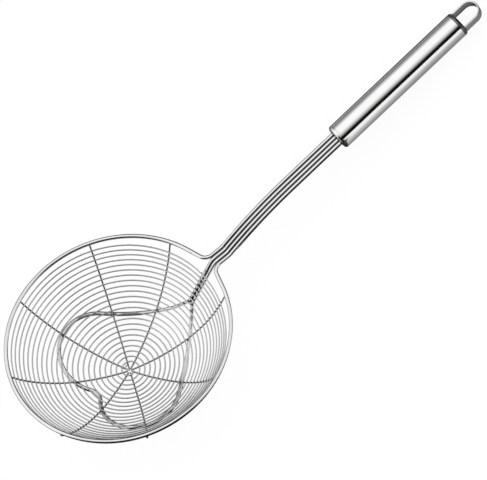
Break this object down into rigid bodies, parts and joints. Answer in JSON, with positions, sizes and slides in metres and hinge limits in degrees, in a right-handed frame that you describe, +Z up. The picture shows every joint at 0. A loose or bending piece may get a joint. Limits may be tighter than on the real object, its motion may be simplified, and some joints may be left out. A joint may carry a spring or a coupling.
{
  "type": "strainer skimmer",
  "caption": "Kitchen strainer skimmer: shallow bowl of spiral-wound wire on radial ribs, held by a rim wire and a heart-shaped support wire that form a flat shank into a tubular handle.",
  "frame": {"origin": "on the table that the skimmer lies on, under the middle of its bounding box", "axes": "+Z up from the table, +X from the bowl to the handle's rear end, Y across; it lies on the support wire under the bowl and on the rear cap's edge, so the rim leans about 16 degrees"},
  "size_m": [0.4192, 0.1606, 0.0766],
  "materials": {
    "frame_wire": "bright drawn stainless wire",
    "bowl_wire": "bright drawn stainless wire",
    "handle": "polished",
    "strap": "polished"
  },
  "bodies": {
    "root": {"rim_wire": "frame_wire", "support_wire": "frame_wire", "spiral_wire": "bowl_wire", "rib_1": "bowl_wire", "rib_2": "bowl_wire", "rib_3": "bowl_wire", "rib_4": "bowl_wire", "rib_5": "bowl_wire", "rib_6": "bowl_wire", "rib_7": "bowl_wire", "rib_8": "bowl_wire", "handle_tube": "handle", "front_cap": "handle", "rear_cap": "handle", "hang_loop": "strap"}
  },
  "joints": []
}
